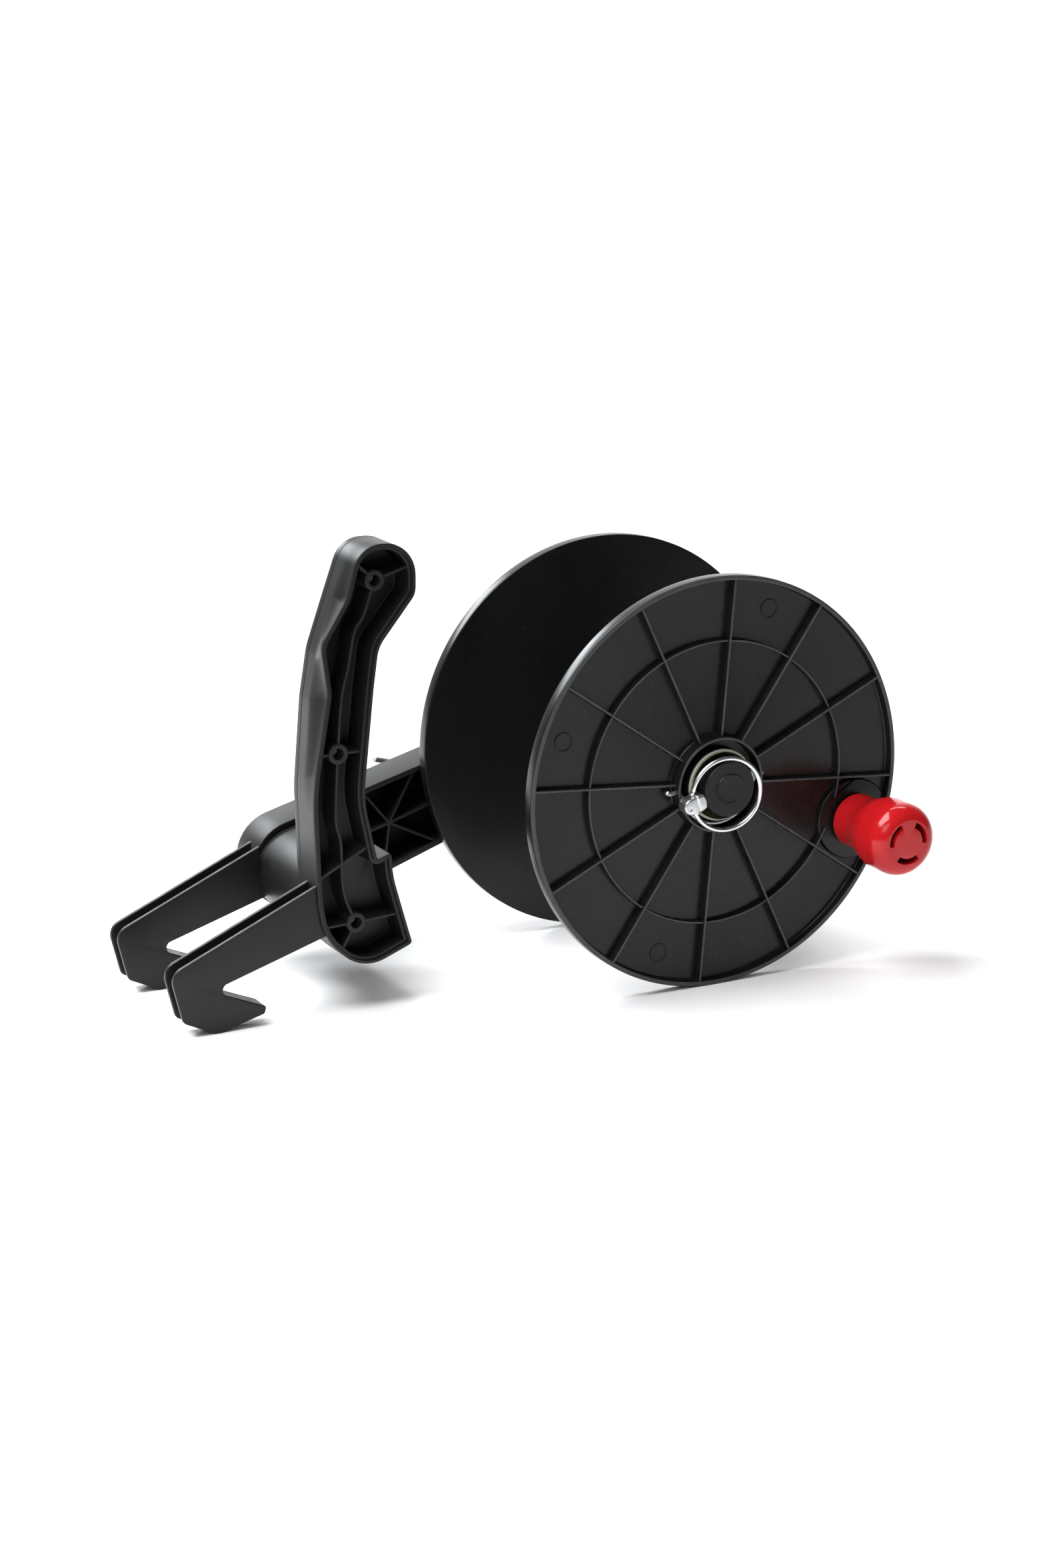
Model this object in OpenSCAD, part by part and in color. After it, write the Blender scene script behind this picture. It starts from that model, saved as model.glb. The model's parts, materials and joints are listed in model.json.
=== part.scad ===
// Hand-held fence reel: a cranked spool on a frame with a grip and two hanging hooks.
// X runs from the hooks to the spool, Y along the spool's axis to the back, Z up.
// Every outline is drawn about the spool's axis, with y = 0 at the front rim's edge, and
// place() then puts the origin in the middle of the base that the reel stands on.

/* [Spool] */
// Outer diameter of both flanges
flange_d = 220; // [200:1:230]
// Width over both flanges
spool_w = 130; // [126:1:131]
// Depth of a flange's rim
rim_w = 7; // [6:0.5:9]
// Thickness of a flange's rim
rim_t = 2.6; // [2:0.1:4]
// Thickness of a flange's web
web_t = 2; // [1.6:0.1:3]
// Number of radial ribs on a flange
rib_count = 12; // [8:4:12]
// Thickness of a flange's rib
rib_t = 1.4; // [1:0.1:2]
// Radius of the ring rib half way out
ring_rib_r = 75.5; // [60:0.5:76]
// Outer radius of the drum that the line winds on
drum_r = 32; // [28:0.5:34]
// Radius of the hole in the drum that takes the line's end
anchor_r = 3; // [2:0.5:4]

/* [Hub and spindle] */
// Radius of the spindle
spindle_r = 14.7; // [13:0.1:15]
// Radial running clearance of the bushes on the spindle
bush_gap = 0.06; // [0.03:0.01:0.1]
// Outer radius of the collar around the spindle's end
collar_r = 25.5; // [24:0.5:28]
// How far the collar stands out from the front rim
collar_proud = 3; // [2:0.5:4]
// How far the spindle stands out from the front rim
spindle_proud = 12; // [11:0.5:14]

/* [Linch pin] */
// Radius of the linch pin
linch_r = 2.25; // [1.5:0.05:2.5]
// Tilt of the linch pin from the horizontal
linch_tilt = 17; // [0:1:30]
// Middle radius of the spring ring
ring_r = 19.75; // [19:0.25:21]
// Radius of the ring's wire
ring_wire_r = 1.25; // [1:0.05:1.4]

/* [Knob] */
// Distance of the knob from the spool's axis
knob_at_r = 91.5; // [88:0.5:92]
// Length of the knob in front of the rim
knob_l = 50; // [44:1:56]
// Radius of the knob's head
knob_head_r = 19.5; // [17:0.5:21]
// Radius of the knob's stem
knob_stem_r = 14.5; // [12:0.5:15]

/* [Frame] */
// Thickness of the arm and of its walls' depth
arm_depth = 25; // [20:1:28]
// Wall thickness of the frame mouldings
wall = 3; // [2.5:0.1:3.4]
// Depth of the grip, both shells together
grip_depth = 25.5; // [24:0.5:28]
// Thickness of a hook
hook_t = 13; // [12:0.5:14]
// Width of the groove in a hook
hook_groove_w = 8; // [6:0.5:9]

/* [Lock] */
// Radius of the lock pin
lock_r = 3; // [2.5:0.1:3]
// How far the lock pin stands clear of the spool when it is drawn back
lock_clear = 1; // [0.6:0.1:1.5]

/* [Hidden] */
$fn = 96;
eps = 0.01;
black = "#2b2e30";
red = "#c31f22";
steel = "#c9ccce";
yellow_zinc = "#b3a865";
nylon = "#8a8f80";

// ---- flange and drum
flange_r = flange_d / 2;
rim_in = flange_r - rim_t;
web_y = rim_w - web_t;
rib_top = 0.4;
rib_phase = 4.74;
rib_step = 360 / rib_count;
collar_wall = 1.6;
collar_in = collar_r - collar_wall;
drum_wall = 3;
drum_in = drum_r - drum_wall;
spigot_l = 6;
spigot_wall = 2.5;
hub_wall = 2.2;
bush_wall = 2.3;
bush_in = spindle_r + bush_gap;
bush_out = bush_in + bush_wall;
hub_out = bush_out + hub_wall;
bush_flange_t = 1.3;
bush_flange_r = hub_out - 0.3;
front_hub_y = -1.7;
rear_hub_y = 1;
hub_end = 17;
pad_r = 23;
pad_top = 2.6;
mark_r = 94.5;
mark_out = 5.2;
mark_in = 4.4;
mark_h = 0.5;
clip_r = 21.4;
clip_wire_r = 1.5;
clip_y = 1.5;
clip_tilt = 5;
clip_reach = [30.5, 28];

// ---- lock
lock_at_r = 81.6;
lock_angle = 253;
lock_bore_gap = 0.08;
lock_boss_r = 7.5;
lock_tip_y = spool_w + lock_clear;
lock_tail_y = spool_w + 43.5;
lock_wire_r = 2;
lock_wire_y = spool_w + 40;
lock_wire_end = [-118.4, -12.6];
lock_at = [lock_at_r * sin(lock_angle), lock_at_r * cos(lock_angle)];

// ---- knob
knob_angle = rib_phase + rib_step * 3.5;
knob_at = [knob_at_r * sin(knob_angle), knob_at_r * cos(knob_angle)];
knob_foot_y = 0.8;
knob_flare = [15, 27];
knob_round = [7.4, 10];
knob_face_t = 3;
knob_cavity_r = 12.5;
knob_screw_r = 2;
knob_screw_head_r = 4.2;
knob_screw_head_t = 1.9;
knob_screw_l = 22;
post_r = 6;
post_gap = 0.08;
post_foot_r = 10;
post_foot_t = 1.4;
post_lip_r = 8;
post_lip_t = 2.5;
post_end = knob_l - 9;
slot_in = 8.6;
slot_out = 11.5;
slot_angle = 72;

// ---- arm and spindle
arm_y = spool_w + 3;
arm_back = arm_y + arm_depth;
arm_floor = arm_back - wall;
lock_boss_y = arm_back - 9;
spindle_socket_y = arm_back - 6;
spindle_bore_r = 8;
bolt_r = 4;
bolt_gap = 0.2;
nut_t = 6.5;
nut_af = 13;
nut_seat_y = 118;
washer_t = 1.6;
bolt_head_t = 5.3;
linch_y = -7.4;
linch_gap = 0.1;
linch_tail = 18.5;
head_x = [-25.6, -14.9];
head_y = [-12.2, -5];
head_h = 9;
pivot = [-20, -8.2];
pivot_half = 6.2;
pivot_depth = 2;
pivot_gap = 0.06;
ring_lean = 6.1;

// ---- grip
grip_y = 48.5;
grip_split = 20;
wave_land = 4;
wave_steps = 2;
wave_step_h = 5;
grip_wall = 3.4;
lip_t = 1.7;
lip_h = 1.8;
seam = 0.2;
boss_r = 5.4;
boss_bore_r = 2.9;
inner_rib_t = 1.5;
rib_recess = 3;
boss_recess = 2.4;
grip_floor = 2.4;
seam_z = -22.6;
screw_head_r = 5.2;
screw_head_t = 2;
grip_bosses = [[-171.7, 115], [-193, 27.6], [-184.5, -62.9]];
beam_y = grip_y + grip_depth;

// Outlines are corners [x, z, corner radius], anticlockwise seen from the front
beam_right = [[-153.8, -77.8, 2], [-164.4, -40, 60], [-165.2, -27.2, 1.5]];
finger_side = [[-173.2, -30.2, 1.5], [-180.2, 3, 60], [-174, 60, 120], [-171, 81, 18],
               [-150, 106.5, 10], [-149.8, 133.8, 17.5], [-181, 133.8, 15]];
palm_waved = [[-188.3, 107.5, 20], [-202.9, 84.5, 14], [-199.6, 59, 16]];
palm_plain = [[-190.6, 107.5, 30], [-200.4, 80, 40], [-204.6, 55, 40]];
grip_foot = [[-208.6, 8, 120], [-206.6, -50, 60], [-202.4, -68, 12], [-181.5, -88, 16]];
grip_plain = concat(beam_right, finger_side, palm_plain, grip_foot);
grip_waved = concat(beam_right, finger_side, palm_waved, grip_foot);
beam_corners = concat(beam_right, [[-209, -39.1, 24], [-204.4, -66.5, 14], [-181.5, -88, 16]]);
arm_corners = [[21, -13.9, 18], [21, 27.1, 18], [-209, -35.8, 24], [-204.4, -68, 14],
               [-183, -84.6, 14]];
star = [-126.2, -38.7];
star_angles = [61.3, 129.4, 196, 263, 333.7];
hook_corners = [[-195, -34.7, 0], [-287.4, -75.3, 8], [-280.9, -101.8, 4],
                [-262.5, -110.45, 8], [-236.6, -103.4, 1.5], [-235.6, -99.6, 1.5],
                [-265.3, -87.1, 3.2], [-195, -65.4, 0]];
hook_groove = [[-200, -20], [-200, -49], [-276.9, -82.6], [-272.9, -99.5], [-290, -104],
               [-300, -60]];
front_hook_y = 50;
rear_hook_y = 127;

// ---- outline functions
function unit(v) = v / norm(v);
function turn(a, b, c) = sign(cross(b - a, c - b));
function half_angle(a, b, c) = acos(unit(a - b) * unit(c - b)) / 2;
function flat_point(p) = [p.x, p.y];
function before(pts, i) = flat_point(pts[(i + len(pts) - 1) % len(pts)]);
function after(pts, i) = flat_point(pts[(i + 1) % len(pts)]);
// Points of the arc of radius r that rounds the corner b between a and c
function corner_arc(a, b, c, r, n) =
    let (half = half_angle(a, b, c),
         run = r / tan(half),
         mid = b + unit(unit(a - b) + unit(c - b)) * r / sin(half),
         from = b + unit(a - b) * run - mid,
         to = b + unit(c - b) * run - mid,
         start = atan2(from.y, from.x),
         sweep = (atan2(to.y, to.x) - start + 540) % 360 - 180)
    [for (k = [0:n]) mid + r * [cos(start + sweep * k / n), sin(start + sweep * k / n)]];
function rounded(pts, n = 6) =
    [for (i = [0:len(pts) - 1])
        let (b = flat_point(pts[i]))
        each (pts[i].z == 0 ? [b] : corner_arc(before(pts, i), b, after(pts, i), pts[i].z, n))];
// The same corners moved inwards by d, with the radii that keep the wall even
function inset(pts, d) =
    [for (i = [0:len(pts) - 1])
        let (a = before(pts, i), b = flat_point(pts[i]), c = after(pts, i),
             side = turn(a, b, c),
             moved = b + unit(unit(a - b) + unit(c - b)) * side * d / sin(half_angle(a, b, c)))
        [moved.x, moved.y, pts[i].z == 0 ? 0 : max(pts[i].z - side * d, 0.4)]];
// Outline of a strip of width t along a line of points, with mitred bends
function across(a, b) = let (d = unit(b - a)) [-d.y, d.x];
function mitre(pts, i) =
    let (n = across(pts[max(i - 1, 0)], pts[max(i, 1)]),
         m = across(pts[min(i, len(pts) - 2)], pts[min(i + 1, len(pts) - 1)]))
    (n + m) / (1 + n * m);
function strip(pts, t) =
    concat([for (i = [0:len(pts) - 1]) pts[i] - mitre(pts, i) * t / 2],
           [for (i = [len(pts) - 1:-1:0]) pts[i] + mitre(pts, i) * t / 2]);
function blend(a, b, t) = [for (i = [0:len(a) - 1]) a[i] * (1 - t) + b[i] * t];
function ease(t) = (1 - cos(180 * t)) / 2;

hook_outline = rounded(hook_corners);
box_left = min([for (p = hook_outline) p.x]);
box_mid_x = (box_left + flange_r) / 2;
box_mid_y = (lock_tail_y - knob_l) / 2;

// ---- building blocks
module place() {
    translate([-box_mid_x, -box_mid_y, flange_r]) children();
}

// Prism of an outline in the XZ plane, from y0 to y1
module slab(points, y0, y1) {
    translate([0, y1, 0]) rotate([90, 0, 0]) linear_extrude(y1 - y0) polygon(points);
}

// Solid of revolution about the Y axis through at = [x, z]; the profile is [radius, y]
module turned(profile, at = [0, 0]) {
    translate([at.x, 0, at.y]) rotate([-90, 0, 0]) rotate_extrude() polygon(profile);
}

// Plain rod along Y
module rod(r, y0, y1, at = [0, 0]) {
    translate([at.x, y0, at.y]) rotate([-90, 0, 0]) cylinder(r = r, h = y1 - y0);
}

module washer(r0, r1, y0, y1, at = [0, 0]) {
    turned([[r0, y0], [r1, y0], [r1, y1], [r0, y1]], at);
}

// Straight upright rib from p to q in the XZ plane
module rib(p, q, t, y0, y1) {
    along = q - p;
    translate([p.x, 0, p.y]) rotate([0, -atan2(along.y, along.x), 0])
        translate([0, y0, -t / 2]) cube([norm(along), y1 - y0, t]);
}

// One bent rib through a list of points
module rib_path(points, t, y0, y1) {
    slab(strip(points, t), y0, y1);
}

module clocked(a) {
    rotate([0, a, 0]) children();
}

// Front face at y = 0; the rear flange mirrors it
module flange_moulding(hub_y, collar_out) {
    turned([[bush_out, hub_y], [hub_out, hub_y], [hub_out, web_y], [collar_in, web_y],
            [collar_in, -collar_out], [collar_r, -collar_out], [collar_r, web_y],
            [rim_in, web_y], [rim_in, 0.5], [rim_in + 0.5, 0], [flange_r - 0.8, 0],
            [flange_r, 0.8], [flange_r, rim_w - 0.5], [flange_r - 0.5, rim_w],
            [drum_in, rim_w], [drum_in, rim_w + spigot_l],
            [drum_in - spigot_wall, rim_w + spigot_l], [drum_in - spigot_wall, rim_w],
            [hub_out, rim_w], [hub_out, hub_end], [bush_out, hub_end]]);
    for (i = [0:rib_count - 1]) clocked(rib_phase + i * rib_step)
        translate([-rib_t / 2, rib_top, collar_r - collar_wall / 2])
            cube([rib_t, web_y - rib_top + 0.3, rim_in - collar_r + collar_wall / 2 + 0.3]);
}

module ring_rib() {
    washer(ring_rib_r - 0.6, ring_rib_r + 0.6, 1.4, web_y + 0.3);
}

// ---- spool
module front_flange() {
    color(black) difference() {
        union() {
            flange_moulding(front_hub_y, collar_proud);
            difference() {
                ring_rib();
                rod(pad_r, -1, rim_w, knob_at);
            }
            intersection() {
                rod(pad_r, pad_top, web_y + 0.3, knob_at);
                rod(rim_in + 0.3, 0, rim_w);
            }
            for (k = [1:3]) clocked(knob_angle + 90 * k)
                washer(mark_in, mark_out, web_y - mark_h, web_y + 0.3, [0, mark_r]);
        }
        rod(knob_screw_r + 0.2, 0, rim_w + 1, knob_at);
        rod(knob_screw_head_r + 0.2, rim_w - knob_screw_head_t, rim_w + 1, knob_at);
        clip_legs(clip_r, clip_wire_r + 0.2);
    }
}

module rear_flange() {
    color(black) translate([0, spool_w, 0]) mirror([0, 1, 0]) {
        flange_moulding(rear_hub_y, 0);
        ring_rib();
    }
}

module drum() {
    color(black) difference() {
        washer(drum_in, drum_r, rim_w, spool_w - rim_w);
        translate([0, spool_w / 2, drum_in - 1]) cylinder(r = anchor_r, h = drum_wall + 2);
    }
}

// Flange on the hub's end at hub_y, sleeve running back from it
module bush_moulding(hub_y) {
    turned([[bush_in, hub_y - bush_flange_t], [bush_flange_r, hub_y - bush_flange_t],
            [bush_flange_r, hub_y], [bush_out, hub_y], [bush_out, hub_end - 1],
            [bush_in, hub_end - 1]]);
}

module front_bush() {
    color(nylon) bush_moulding(front_hub_y);
}

module rear_bush() {
    color(nylon) translate([0, spool_w, 0]) mirror([0, 1, 0]) bush_moulding(rear_hub_y);
}

// The two ends of the hub clip, out through the collar on each side
module clip_legs(from_r, r) {
    translate([0, clip_y, 0]) clocked(-clip_tilt) {
        translate([from_r, 0, 0]) rotate([0, 90, 0]) cylinder(r = r, h = clip_reach[1] - from_r);
        translate([-from_r, 0, 0]) rotate([0, -90, 0]) cylinder(r = r, h = clip_reach[0] - from_r);
    }
}

module hub_clip() {
    color(steel) {
        translate([0, clip_y, 0]) rotate([-90, 0, 0]) rotate_extrude()
            translate([clip_r, 0]) circle(clip_wire_r);
        clip_legs(clip_r, clip_wire_r);
    }
}

// ---- knob
module knob_post() {
    color(black) difference() {
        turned([[0, -post_end], [post_lip_r - 1, -post_end], [post_lip_r, 1 - post_end],
                [post_lip_r, post_lip_t - post_end], [post_r, post_lip_t - post_end],
                [post_r, pad_top - post_foot_t], [post_foot_r, pad_top - post_foot_t],
                [post_foot_r, pad_top], [0, pad_top]], knob_at);
        rod(knob_screw_r + 0.05, 1 + rim_w - knob_screw_l, pad_top + 1, knob_at);
    }
}

module knob_screw() {
    color(steel) {
        rod(knob_screw_r, rim_w - knob_screw_l + 2, rim_w - knob_screw_head_t, knob_at);
        rod(knob_screw_head_r, rim_w - knob_screw_head_t, rim_w - 0.1, knob_at);
    }
}

function knob_flare_points(n = 6) =
    [for (k = [0:n]) [knob_stem_r + (knob_head_r - knob_stem_r) * ease(k / n),
                      -knob_flare[0] - (knob_flare[1] - knob_flare[0]) * k / n]];
function knob_round_points(n = 8) =
    [for (k = [0:n]) [knob_head_r - knob_round[0] * (1 - cos(90 * k / n)),
                      knob_round[1] * (1 - sin(90 * k / n)) - knob_l]];

module knob() {
    lip_y = post_lip_t - post_end + 0.3;
    color(red) difference() {
        turned(concat([[post_r + post_gap, knob_foot_y], [knob_stem_r - 0.6, knob_foot_y],
                       [knob_stem_r, knob_foot_y - 0.6]],
                      knob_flare_points(), knob_round_points(),
                      [[0, -knob_l], [0, knob_face_t - knob_l],
                       [knob_cavity_r, knob_face_t - knob_l], [knob_cavity_r, lip_y],
                       [post_r + post_gap, lip_y]]), knob_at);
        for (a = [60, 180, 300]) translate([knob_at.x, -knob_l - 1, knob_at.y])
            rotate([-90, 0, 0]) rotate([0, 0, a - 90 - slot_angle / 2])
                rotate_extrude(angle = slot_angle)
                    translate([slot_in, 0]) square([slot_out - slot_in, knob_face_t + 2]);
    }
}

// ---- spindle
module linch_hole(r) {
    clocked(-linch_tilt) translate([-30, linch_y, 0]) rotate([0, 90, 0]) cylinder(r = r, h = 60);
}

module spindle() {
    color(black) difference() {
        turned([[spindle_bore_r, -spindle_proud], [spindle_r - 0.5, -spindle_proud],
                [spindle_r, 0.5 - spindle_proud], [spindle_r, spindle_socket_y],
                [bolt_r + bolt_gap, spindle_socket_y],
                [bolt_r + bolt_gap, nut_seat_y + nut_t], [spindle_bore_r, nut_seat_y + nut_t]]);
        linch_hole(linch_r + linch_gap);
    }
}

module spindle_cap() {
    color(black) turned([[0, -spindle_proud - 0.4], [spindle_bore_r - 0.8, -spindle_proud - 0.4],
                         [spindle_bore_r, -spindle_proud], [spindle_bore_r, 1.8 - spindle_proud],
                         [0, 1.8 - spindle_proud]]);
}

module spindle_bolt() {
    color(steel) {
        rod(bolt_r, nut_seat_y - 3, arm_back + washer_t);
        translate([0, arm_back + washer_t, 0]) rotate([-90, 0, 0])
            cylinder(r = nut_af / sqrt(3), h = bolt_head_t, $fn = 6);
    }
}

module spindle_washer() {
    color(steel) washer(bolt_r + bolt_gap, 9, arm_back, arm_back + washer_t);
}

module spindle_nut() {
    color(steel) difference() {
        translate([0, nut_seat_y, 0]) rotate([-90, 0, 0])
            cylinder(r = nut_af / sqrt(3), h = nut_t, $fn = 6);
        rod(bolt_r + 0.05, nut_seat_y - 1, nut_seat_y + nut_t + 1);
    }
}

module front_thrust_washer() {
    color(yellow_zinc) washer(spindle_r + 0.3, 17.8, linch_y + linch_r + 0.35,
                              front_hub_y - bush_flange_t - 0.3);
}

module rear_thrust_washer() {
    color(yellow_zinc) washer(spindle_r + 0.3, bush_flange_r,
                              spool_w - rear_hub_y + bush_flange_t + 0.3, arm_y);
}

// ---- linch pin
module linch_pin() {
    color(steel) clocked(-linch_tilt) difference() {
        union() {
            translate([head_x[0] + head_h / 2, linch_y, 0]) rotate([0, 90, 0])
                cylinder(r = linch_r, h = linch_tail - 0.8 - head_x[0] - head_h / 2);
            translate([linch_tail - 0.8, linch_y, 0]) rotate([0, 90, 0])
                cylinder(r1 = linch_r, r2 = linch_r - 0.8, h = 0.8);
            translate([head_x[0] + head_h / 2, head_y[0], -head_h / 2])
                cube([head_x[1] - head_x[0] - head_h / 2, head_y[1] - head_y[0], head_h]);
            rod(head_h / 2, head_y[0], head_y[1], [head_x[0] + head_h / 2, 0]);
        }
        for (side = [-1, 1]) translate([pivot.x, pivot.y, side * (head_h / 2)])
            cylinder(r = ring_wire_r + pivot_gap, h = 2 * pivot_depth + 0.4, center = true);
    }
}

module linch_ring() {
    open = asin(pivot_half / ring_r);
    color(steel) clocked(-linch_tilt) translate([pivot.x, pivot.y, 0])
        rotate([0, 0, -ring_lean]) {
            translate([ring_r * cos(open), 0, 0]) rotate([90, 0, 0])
                rotate([0, 0, open - 180]) rotate_extrude(angle = 360 - 2 * open)
                    translate([ring_r, 0]) circle(ring_wire_r);
            for (side = [-1, 1])
                translate([0, 0, side * (pivot_half + 0.4 + head_h / 2 - pivot_depth) / 2])
                    cylinder(r = ring_wire_r - 0.05, center = true,
                             h = pivot_half + 0.4 - head_h / 2 + pivot_depth);
        }
}

// ---- arm, beam and hooks
module arm() {
    color(black) difference() {
        union() {
            difference() {
                slab(rounded(arm_corners), arm_y, arm_back);
                slab(rounded(inset(arm_corners, wall)), arm_y - 1, arm_floor);
            }
            intersection() {
                slab(rounded(inset(arm_corners, wall / 2)), arm_y, arm_back - wall / 2);
                union() {
                    for (a = star_angles)
                        rib(star, star + 90 * [cos(a), sin(a)], inner_rib_t, arm_y + 1, arm_back);
                    rib(star, [0, 0], inner_rib_t, arm_y + 1, arm_back);
                    rib([-56, 12], [-44, -48], inner_rib_t, arm_y + 1, arm_back);
                }
            }
            rod(spindle_r + 4.3, arm_y, arm_floor);
            rod(lock_boss_r, lock_boss_y, arm_back + 1.5, lock_at);
        }
        rod(spindle_r + 0.05, arm_y - 1, spindle_socket_y);
        rod(bolt_r + bolt_gap, spindle_socket_y - 1, arm_back + 1);
        rod(lock_boss_r - 0.5, arm_y - 1, lock_boss_y, lock_at);
        rod(lock_r + lock_bore_gap, lock_boss_y - 1, arm_back + 2, lock_at);
    }
}

module beam_solid() {
    slab(rounded(beam_corners), beam_y, arm_y);
}

module cross_beam() {
    color(black) difference() {
        beam_solid();
        slab(rounded(inset(beam_corners, wall)), beam_y - 1, arm_y + 1);
    }
}

// U-section hook: the groove runs along the top and round the nose
module hook_moulding(y0) {
    difference() {
        slab(hook_outline, y0, y0 + hook_t);
        slab(hook_groove, y0 + (hook_t - hook_groove_w) / 2, y0 + (hook_t + hook_groove_w) / 2);
    }
}

module front_hook() {
    color(black) difference() {
        hook_moulding(front_hook_y);
        slab(rounded(grip_plain), grip_y, beam_y);
    }
}

module rear_hook() {
    color(black) difference() {
        hook_moulding(rear_hook_y);
        beam_solid();
        slab(rounded(arm_corners), arm_y, arm_back);
    }
}

// ---- grip
// Outer skin of the front shell: finger waves at the open edge that fade out behind it
module grip_skin(y0, y1) {
    slab(rounded(grip_waved), y0, y0 + wave_land);
    for (k = [1:wave_steps - 1])
        slab(rounded(blend(grip_waved, grip_plain, k / wave_steps)),
             y0 + wave_land + (k - 1) * wave_step_h, y0 + wave_land + k * wave_step_h);
    slab(rounded(grip_plain), y0 + wave_land + (wave_steps - 1) * wave_step_h, y1);
}

module grip_ribs(y0, y1) {
    top = grip_bosses[0];
    mid = grip_bosses[1];
    low = grip_bosses[2];
    rib_path([top, [-177.8, 97.5], [-182.9, 89.5], [-186.5, 72], [-190.5, 56], mid],
             inner_rib_t, y0, y1);
    rib_path([mid, [-194.4, 3], [-194.4, -10], [-192, -20], [-191, -45], low],
             inner_rib_t, y0, y1);
    rib(top, top + [-20, 20], inner_rib_t, y0, y1);
    rib(top, top + [28, 8], inner_rib_t, y0, y1);
    rib([-215, mid.y], [-170, mid.y], inner_rib_t, y0, y1);
    rib([-206, -38], [-172, -21], inner_rib_t, y0, y1);
    rib(low - [30, 1], low + [34, 2], inner_rib_t, y0, y1);
    rib(low, low - [13, 23], inner_rib_t, y0, y1);
}

module grip_front() {
    back_y = grip_y + grip_split - seam / 2;
    color(black) difference() {
        union() {
            difference() {
                grip_skin(grip_y, back_y);
                slab(rounded(inset(grip_waved, grip_wall)), grip_y - 1, back_y - grip_floor);
                slab(rounded(inset(grip_waved, lip_t)), grip_y - 1, grip_y + lip_h);
            }
            intersection() {
                slab(rounded(inset(grip_waved, grip_wall - 0.5)), grip_y, back_y - 0.5);
                grip_ribs(grip_y + rib_recess, back_y);
            }
            for (b = grip_bosses) rod(boss_r, grip_y + boss_recess, back_y - 0.5, b);
        }
        for (b = grip_bosses) rod(boss_bore_r, grip_y, back_y + 1, b);
        translate([-212, grip_y + lip_h, seam_z]) cube([4, grip_split, 0.4]);
    }
}

module grip_back() {
    front_y = grip_y + grip_split + seam / 2;
    color(black) difference() {
        slab(rounded(grip_plain), front_y, beam_y);
        for (b = grip_bosses) {
            rod(boss_bore_r + 0.1, front_y - 1, beam_y + 1, b);
            rod(screw_head_r + 0.2, beam_y - screw_head_t - 0.2, beam_y + 1, b);
        }
    }
}

module grip_screws() {
    color(steel) for (b = grip_bosses) {
        rod(boss_bore_r - 0.05, grip_y + 9, beam_y - screw_head_t - 0.2, b);
        rod(screw_head_r, beam_y - screw_head_t - 0.2, beam_y - 0.2, b);
    }
}

// ---- lock
module lock_rod(from_l, to_l, r) {
    along = lock_wire_end - lock_at;
    translate([lock_at.x, lock_wire_y, lock_at.y]) rotate([0, -atan2(along.y, along.x), 0])
        translate([from_l, 0, 0]) rotate([0, 90, 0]) cylinder(r = r, h = to_l - from_l);
}

module lock_pin() {
    color(steel) difference() {
        turned([[0, lock_tip_y], [lock_r - 0.8, lock_tip_y], [lock_r, lock_tip_y + 0.8],
                [lock_r, lock_tail_y - 0.6], [lock_r - 0.6, lock_tail_y], [0, lock_tail_y]],
               lock_at);
        lock_rod(-10, 10, lock_wire_r + 0.02);
    }
}

module lock_handle() {
    color(steel) lock_rod(-6, norm(lock_wire_end - lock_at), lock_wire_r);
}

module lock_clip() {
    color(steel) washer(lock_r, lock_r + 2.6, lock_boss_y - 1.4, lock_boss_y - 0.4, lock_at);
}

place() front_flange();
place() rear_flange();
place() drum();
place() front_bush();
place() rear_bush();
place() hub_clip();
place() knob_post();
place() knob_screw();
place() knob();
place() spindle();
place() spindle_cap();
place() spindle_bolt();
place() spindle_washer();
place() spindle_nut();
place() front_thrust_washer();
place() rear_thrust_washer();
place() linch_pin();
place() linch_ring();
place() arm();
place() cross_beam();
place() front_hook();
place() rear_hook();
place() grip_front();
place() grip_back();
place() grip_screws();
place() lock_pin();
place() lock_handle();
place() lock_clip();
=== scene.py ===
"""Looks of a cranked fence-line reel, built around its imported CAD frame.

Lengths are millimetres about the spool's axis, with y = 0 at the front rim's edge. at() turns them
into the frame's metres. Outlines are corners (x, z, corner radius), as in the CAD source.
"""
import json
import math

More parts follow.
